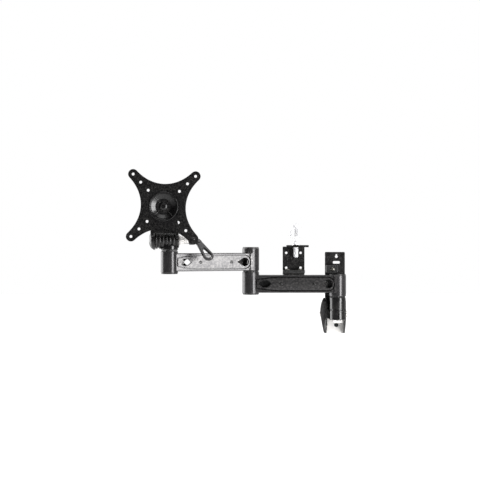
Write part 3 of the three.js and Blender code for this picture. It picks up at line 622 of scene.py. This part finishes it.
def cover(name, left, right, z):
    hole, scoop, screws, cover_ends = arm_places(left, right)
    floor = ARM_FRONT + POCKET_DEPTH
    crown, bulge = 0.9, 90.0
    section = [(ARM_FRONT - crown + bulge - math.sqrt(bulge**2 - d**2), z + d)
               for d in (-15 + 30 * i / 24 for i in range(25))]
    sheet = slab(section + [(floor - GAP, z + 15), (floor - GAP, z - 15)], "yz", left, right)
    common(sheet, slab(lens(*cover_ends, z, 0), "xz", ARM_FRONT - 3, floor + 1))
    teardrop = tapered_loop((hole - TEARDROP, z), 0.8, (hole, z), CABLE_HOLE_R, 24)
    dip = slab(leaf(scoop - 1, z, 12.2, 7.4), "xz", ARM_FRONT - 3, ARM_FRONT + 0.2)
    cut(
        sheet,
        slab(teardrop, "xz", ARM_FRONT - 3, floor + 1),
        dip,
        rod(CABLE_HOLE_R, ARM_FRONT - 3, floor + 1, "y", (hole, z), steps=48),
        slab(leaf(scoop, z, 10.5, 6), "xz", ARM_FRONT - 3, floor + 1),
        *[rod(1.6, ARM_FRONT - 3, floor + 1, "y", (x, z), steps=24) for x in screws],
    )
    softened(sheet, 0.3)
    piece(join(sheet, chute(hole, z)), name + "_cover")
    for index, x in enumerate(screws):
        screw = button_head(2.6, ARM_FRONT - 2.3, ARM_FRONT - 1.0, "y", (x, z), 1.1)
        join(screw, rod(1.3, ARM_FRONT - 1.4, ARM_FRONT + 7, "y", (x, z), steps=24))
        piece(screw, f"{name}_cover_screw_{index + 1}")


def cap(name, x, face, facing):
    near = face + facing * GAP
    far = near + facing * CAP_T
    inside = face - facing * 2
    radius = BARREL_R - 0.6
    profile = [(0, inside), (BORE_R - 2.4, inside), (BORE_R - 2.4, near), (radius, near), (radius, far),
               (BORE_R, far), (BORE_R - 0.5, far - facing * 0.3), (0, far - facing * 0.3)]
    piece(turned(rounded(profile, 0.55, 4, (4, 5, 6)), "z", (x, PIVOT_Y), 72), name)


def arms():
    wall_barrel = (CLAMP_TOP + 2 * GAP + WASHER_T, WALL_BARREL_TOP)
    elbow_upper = (ELBOW_LOWER[1] + 2 * GAP + WASHER_T, ELBOW_TOP)
    casting("upper_arm", ELBOW_X, WALL_X, UPPER_ARM_Z, ELBOW_LOWER, wall_barrel, False)
    cover("upper_arm", ELBOW_X, WALL_X, UPPER_ARM_Z)
    casting("forearm", HEAD_X, ELBOW_X, FOREARM_Z, HEAD_BARREL, elbow_upper, True)
    cover("forearm", HEAD_X, ELBOW_X, FOREARM_Z)
    cap("wall_cap", WALL_X, WALL_BARREL_TOP, 1)
    cap("elbow_cap_upper", ELBOW_X, ELBOW_TOP, 1)
    cap("elbow_cap_lower", ELBOW_X, ELBOW_LOWER[0], -1)
    cap("head_cap", HEAD_X, HEAD_BARREL[0], -1)


# ---------------------------------------------------------------- accessory bracket


def stand():
    arm_top = UPPER_ARM_Z + ARM_HALF
    front = STAND_BACK - STAND_T
    foot_low = arm_top + GAP
    foot_high = foot_low + STAND_T
    shelf_top = STAND_TOP + STAND_T
    upright = rounded(rectangle(STAND_LEFT, foot_low, STAND_RIGHT, STAND_TOP), 0.8)
    body = slab(upright, "xz", front, STAND_BACK)
    join(
        body,
        cuboid((STAND_LEFT + 1.5, front - 17, foot_low), (STAND_RIGHT - 1.5, front + 1, foot_high)),
        cuboid((STAND_LEFT + 6, front - 20, STAND_TOP - 1), (STAND_RIGHT + 6, STAND_BACK - 0.02, shelf_top)),
    )
    places = [(STAND_LEFT + 8, -33), (STAND_RIGHT - 8, -33)]
    holes = [(x, z) for x in (-83, -59) for z in (42.5, 67.5)]
    cut(
        body,
        cuboid((THUMB_X - 3.4, front - 1, 61), (THUMB_X + 4.2, STAND_BACK + 1, STAND_TOP - 1.3)),
        *[rod(2.1, front - 1, STAND_BACK + 1, "y", hole, steps=32) for hole in holes],
        *[rod(2.3, foot_low - 1, foot_high + 1, "z", place, steps=32) for place in places],
        rod(3.9, STAND_TOP - 2, STAND_TOP + 4, "z", (THUMB_X, THUMB_Y)),
    )
    piece(softened(body, 0.3), "stand_bracket")
    low, high = foot_high + GAP, foot_high + GAP + 5.2
    pad = slab(rounded(rectangle(STAND_LEFT, -43, STAND_RIGHT, front - GAP), 2), "xy", low, high)
    cut(pad, *[rod(2.3, low - 1, high + 1, "z", place, steps=32) for place in places])
    piece(softened(pad, 0.9, 3), "stand_pad")
    for index, place in enumerate(places):
        screw = button_head(3.6, high + 2.3, high + GAP, "z", place, 1.6)
        piece(join(screw, rod(2, foot_low, high + 1, "z", place, steps=32)), f"stand_screw_{index + 1}")

    base = shelf_top + GAP
    centre = (THUMB_X, THUMB_Y)
    profile = [(0, 60), (2.6, 60), (3.1, 60.7)]
    count = int((base - 61.5) / 1.1)
    for i in range(count):
        profile += [(3.6, 61 + 1.1 * i), (3.15, 61.55 + 1.1 * i)]
    profile += [(3.5, base), (7, base), (7, base + 2.4), (6.2, base + 3.2), (5, base + 6),
                (4.8, base + 9), (6, base + 12.6), (6, base + 13.5), (0, base + 13.5)]
    outline = [((11.6 + 1.8 * math.cos(5 * t)) * math.cos(t) + THUMB_X,
                (11.6 + 1.8 * math.cos(5 * t)) * math.sin(t) + THUMB_Y)
               for t in (2 * math.pi * i / 100 for i in range(100))]
    grip = softened(slab(outline, "xy", base + 13, base + 28), 1.6, 4)
    dome = rounded([(0, base + 27), (9, base + 27), (7.4, base + 33), (0, base + 37)], 4, 6, (1, 2))
    knob = join(turned(profile, "z", centre, 40), grip, turned(dome, "z", centre))
    piece(knob, "thumb_screw")


# ---------------------------------------------------------------- head


def knuckle():
    centre = (PIVOT_Y, TILT_Z)
    count = 6
    pitch = (DRUM_RIGHT - DRUM_LEFT) / count
    rib = [(0.02, 12.6), (0.1, 13.6), (0.22, 14.1), (0.38, DRUM_R), (0.54, 14.1), (0.66, 13.6),
           (0.74, 12.6), (0.8, DRUM_GROOVE_R), (0.96, DRUM_GROOVE_R)]
    profile = [(TILT_BOLT_R + GAP, DRUM_LEFT)]
    for i in range(count):
        start = DRUM_LEFT + i * pitch
        for share, radius in rib:
            profile.append((radius, start + share * pitch))
    profile.append((TILT_BOLT_R + GAP, profile[-1][1]))
    drum = turned(profile, "x", centre, 64)
    base = HEAD_BARREL[1] + 2 * GAP + WASHER_T
    collar = [(0, base), (BARREL_R, base), (BARREL_R, base + 6.5), (11.2, TILT_Z - 4), (0, TILT_Z - 4)]
    neck = turned(rounded(collar, 1.2, 4, (1, 2, 3)), "z", (HEAD_X, PIVOT_Y), 72)
    cut(neck, cuboid((DRUM_RIGHT, PIVOT_Y - 20, base + 7), (DRUM_RIGHT + 20, PIVOT_Y + 20, TILT_Z)))
    body = join(drum, neck)
    cut(body, rod(PIN_R + GAP, base - 1, base + 6, "z", (HEAD_X, PIVOT_Y)),
        rod(TILT_BOLT_R + GAP, DRUM_LEFT - 1, DRUM_RIGHT + 1, "x", centre))
    piece(body, "tilt_knuckle")


def tilt_hardware():
    centre = (PIVOT_Y, TILT_Z)
    end = EAR_LEFT + 5
    bolt = hexagon(6.5, end - 4, end, "x", centre)
    piece(join(bolt, rod(TILT_BOLT_R, end - 1, LEVER_LEFT + 10, "x", centre, 0.5)), "tilt_bolt")
    bore = TILT_BOLT_R + GAP
    low = EAR_RIGHT + GAP
    piece(tube(8, bore, low, low + 1.6, "x", centre, 0.4), "tilt_washer")
    nut = low + 1.6 + GAP
    piece(hexagon(7.5, nut, nut + 6, "x", centre, bore), "tilt_nut")
    spacer = tube(6, bore, nut + 6 + GAP, LEVER_LEFT - GAP, "x", centre, 0.4)
    piece(cut(spacer, tube(7, 5.4, nut + 9.4, nut + 10.4, "x", centre, 0.1)), "tilt_spacer")


def carrier():
    bottom = TILT_Z + 11

    def ear(radius, left, right):
        outline = arc((PIVOT_Y, TILT_Z), radius, 167.4, 396, 48)
        outline += [(CARRIER_BACK, bottom + 12), (CARRIER_FRONT, bottom + 12), (CARRIER_FRONT, bottom - 4)]
        return slab(outline, "yz", left, right)

    back = DRUM_LEFT - GAP
    dome = arc((0, 0), 1, 0, 90, 12)
    dome = [(16 * y, back - (back - EAR_LEFT) * x) for x, y in dome]
    left_ear = join(softened(ear(11, EAR_LEFT + 4, back), 0.9, 3),
                    turned(dome + [(0, back)], "x", (PIVOT_Y, TILT_Z), 64))
    right_ear = softened(ear(12.5, DRUM_RIGHT + GAP, EAR_RIGHT), 0.9, 3)
    outline = [(EAR_LEFT + 4, bottom), (EAR_RIGHT, bottom), (EAR_RIGHT, bottom + 12),
               (SCREEN_X + 18, SCREEN_Z), (SCREEN_X - 18, SCREEN_Z), (EAR_LEFT + 4, bottom + 12)]
    upright = slab(outline, "xz", CARRIER_FRONT + 0.02, CARRIER_BACK - 0.02)
    hub = rod(18, CARRIER_FRONT, CARRIER_BACK, "y", (SCREEN_X, SCREEN_Z))
    body = softened(join(upright, hub), 0.6)
    join(body, left_ear, right_ear)
    cut(body, rod(TILT_BOLT_R + GAP, EAR_LEFT - 1, EAR_RIGHT + 1, "x", (PIVOT_Y, TILT_Z)),
        rod(7.1, EAR_LEFT - 1, EAR_LEFT + 5.3, "x", (PIVOT_Y, TILT_Z)),
        rod(4.3, CARRIER_FRONT - 1, CARRIER_BACK + 1, "y", (SCREEN_X, SCREEN_Z)))
    piece(body, "tilt_carrier")


def on_plate(x, z):
    return (SCREEN_X + x * math.cos(SCREEN_ROLL) + z * math.sin(SCREEN_ROLL),
            SCREEN_Z - x * math.sin(SCREEN_ROLL) + z * math.cos(SCREEN_ROLL))


def screen_plate():
    reach, lobe = 50.0, 8.0
    side = lobe * math.sqrt(0.5)
    start = (-reach + side, reach + side)
    sag = (start[1] - 36) / 0.75
    outline = []
    for quarter in range(4):
        c, s = math.cos(quarter * math.pi / 2), math.sin(quarter * math.pi / 2)
        dips = [(start[0] + sag, start[1] - sag), (-start[0] - sag, start[1] - sag)]
        run = curve(start, *dips, 28, (-start[0], start[1]))
        run += arc((reach, reach), lobe, 135, -45, 18)[1:-1]
        outline += [on_plate(x * c + z * s, -x * s + z * c) for x, z in run]
    back = SCREEN_FRONT + SCREEN_T
    sheet = slab(outline, "xz", SCREEN_FRONT, back)
    holes = [rod(2.3, SCREEN_FRONT - 1, back + 1, "y", on_plate(sx * step, sz * step), steps=28)
             for step in (25, 37.5, 50) for sx in (-1, 1) for sz in (-1, 1)]
    centre = (SCREEN_X, SCREEN_Z)
    cut(sheet, rod(DISH_R - 0.5, SCREEN_FRONT - 1, back + 1, "y", centre, steps=80), *holes)
    softened(sheet, 0.35)
    face = SCREEN_FRONT + 0.05
    dish = [(DISH_R, face), (DISH_R - 0.5, face - 0.8), (21.6, face - 0.8), (20.6, face + 0.9),
            (19.4, face + 1.1), (13.6, face + 4.3), (12.6, face + 4.75), (4.3, face + 4.75),
            (4.3, face + 7.2), (14, face + 7.2), (20.5, face + 4.4), (DISH_R, back - 0.05)]
    join(sheet, turned(rounded(dish, 0.5, 3, (1, 2, 3, 4, 5, 6, 10)), "y", centre, 80))
    rib = [(7.6, face + 5), (7.6, face + 3.4), (12.4, face + 3.4), (19.6, face + 0.25), (20.8, face + 0.9),
           (20.2, face + 2.5), (12.8, face + 5.2)]
    for angle in (45, 135, 225, 315):
        bar = slab([(SCREEN_X + r, y) for r, y in rib], "xy", SCREEN_Z - 0.8, SCREEN_Z + 0.8)
        turn = Matrix.Rotation(math.radians(angle) + SCREEN_ROLL, 4, "Y")
        join(sheet, softened(moved(bar, about((SCREEN_X, 0, SCREEN_Z), turn)), 0.25))
    piece(sheet, "screen_plate")

    floor = SCREEN_FRONT + 4.8
    nut = CARRIER_BACK + GAP
    bolt = button_head(6.8, floor - 3.3, floor - GAP, "y", centre, 2.9)
    piece(join(bolt, rod(4, floor - 1.3, nut + 9, "y", centre, 0.5)), "hub_bolt")
    piece(hexagon(7.5, nut + 2.1, nut + 8, "y", centre, 4.3), "hub_nut")


def clamp_lever():
    centre = (PIVOT_Y, TILT_Z)
    collar_at = (LEVER_RIGHT + 3, TILT_Z - 3.5)
    tip = (LEVER_TIP_X, TILT_Z - LEVER_REACH)
    boss = [(0, LEVER_LEFT), (6.6, LEVER_LEFT), (7.2, LEVER_LEFT + 0.8), (7.6, LEVER_LEFT + 2.2),
            (7.6, LEVER_RIGHT - 3), (5.2, LEVER_RIGHT), (0, LEVER_RIGHT)]
    body = turned(rounded(boss, 1.2, 4, (1, 3, 4, 5)), "x", centre)
    shank = tapered_loop((LEVER_RIGHT - 3, TILT_Z - 1), 4.4, collar_at, 4.2)
    neck = slab(shank, "xz", PIVOT_Y - 4, PIVOT_Y + 4)
    handle = slab(tapered_loop(collar_at, 4.2, tip, 8.2, 24), "xz", PIVOT_Y - 3, PIVOT_Y + 3)
    window = tapered_loop((LEVER_TIP_X - 8, tip[1] + 14), 1.6, tip, 4.6, 20)
    cut(handle, slab(window, "xz", PIVOT_Y - 5, PIVOT_Y + 5))
    join(body, softened(neck, 1.6, 4), softened(handle, 1.5, 4))
    along = Vector((tip[0] - collar_at[0], 0, tip[1] - collar_at[1])).normalized()
    ring = turned(rounded([(0, -1.6), (5.3, -1.6), (5.3, 1.6), (0, 1.6)], 0.9, 4, (1, 2)), "z", (0, 0), 40)
    place = Vector((collar_at[0], PIVOT_Y, collar_at[1])) + along * 2.2
    moved(ring, Matrix.Translation(place) @ along.to_track_quat("Z", "Y").to_matrix().to_4x4())
    join(body, ring)
    cut(body, rod(TILT_BOLT_R + GAP, LEVER_LEFT - 1, LEVER_LEFT + 11, "x", centre))
    lean = Matrix.Rotation(-LEVER_LEAN, 4, "X")
    piece(moved(body, about((0, PIVOT_Y, TILT_Z), lean)), "clamp_lever")


wall_mount()
swing_lock()
arms()
stand()
knuckle()
tilt_hardware()
carrier()
screen_plate()
clamp_lever()

# ---------------------------------------------------------------- studio


def soft_light(name, azimuth, elevation, distance, width, height, power):
    """A softbox aimed at the arm; azimuth 0 is in front and 90 is at the right."""
    target = Vector((-0.15, -0.06, 0.06))
    a, e = math.radians(azimuth), math.radians(elevation)
    offset = Vector((math.sin(a) * math.cos(e), -math.cos(a) * math.cos(e), math.sin(e)))
    data = bpy.data.lights.new(name, "AREA")
    data.shape = "RECTANGLE"
    data.size = width
    data.size_y = height
    data.energy = power
    light = bpy.data.objects.new(name, data)
    light.location = target + offset * distance
    light.rotation_euler = (-offset).to_track_quat("-Z", "Y").to_euler()
    light.visible_camera = False
    bpy.context.scene.collection.objects.link(light)


soft_light("key_light", 44, 4, 1.3, 0.42, 1.1, 24)
soft_light("left_light", -112, 8, 1.5, 1.2, 1.4, 26)
soft_light("top_light", 10, 72, 1.5, 1.2, 1.0, 10)


def pale_floor():
    floor = turned([(0, 0), (9000, 0), (9000, -10), (0, -10)], "z", (0, 0), 64)
    moved(floor, Matrix.Scale(MM, 4))
    floor.name = "floor"
    floor.location.z = cad_low.z - 0.32
    material = bpy.data.materials.new("floor_paint")
    material.use_nodes = True
    shader = material.node_tree.nodes["Principled BSDF"]
    shader.inputs["Base Color"].default_value = (0.93, 0.93, 0.93, 1)
    shader.inputs["Roughness"].default_value = 0.9
    shader.inputs["Emission Color"].default_value = (1, 1, 1, 1)
    path = material.node_tree.nodes.new("ShaderNodeLightPath")
    material.node_tree.links.new(path.outputs["Is Camera Ray"], shader.inputs["Emission Strength"])
    floor.data.materials.append(material)


def pale_world():
    """White to the camera and behind the arm, dim on the camera's side."""
    world = bpy.data.worlds.new("studio")
    bpy.context.scene.world = world
    world.use_nodes = True
    tree = world.node_tree
    background = tree.nodes["Background"]
    place = tree.nodes.new("ShaderNodeTexCoord")
    split = tree.nodes.new("ShaderNodeSeparateXYZ")
    tree.links.new(place.outputs["Generated"], split.inputs[0])
    shade = tree.nodes.new("ShaderNodeMapRange")
    for name, value in (("From Min", -0.3), ("From Max", 0.5), ("To Min", 0.03), ("To Max", 0.9)):
        shade.inputs[name].default_value = value
    tree.links.new(split.outputs["Y"], shade.inputs["Value"])
    path = tree.nodes.new("ShaderNodeLightPath")
    either = tree.nodes.new("ShaderNodeMath")
    either.operation = "MAXIMUM"
    tree.links.new(shade.outputs["Result"], either.inputs[0])
    tree.links.new(path.outputs["Is Camera Ray"], either.inputs[1])
    background.inputs["Color"].default_value = (1, 1, 1, 1)
    tree.links.new(either.outputs[0], background.inputs["Strength"])


pale_floor()
pale_world()
bpy.context.scene.view_settings.view_transform = "Standard"

camera_data = bpy.data.cameras.new("camera")
camera_data.sensor_width = 36
camera_data.lens = 93.75  # about 2 m away, the arm keeps little perspective
camera_data.clip_end = 50
camera = bpy.data.objects.new("camera", camera_data)
camera.location = (-0.1605, -2.119, 0.089)
camera.rotation_euler = (math.radians(90), 0, 0)
bpy.context.scene.collection.objects.link(camera)
bpy.context.scene.camera = camera
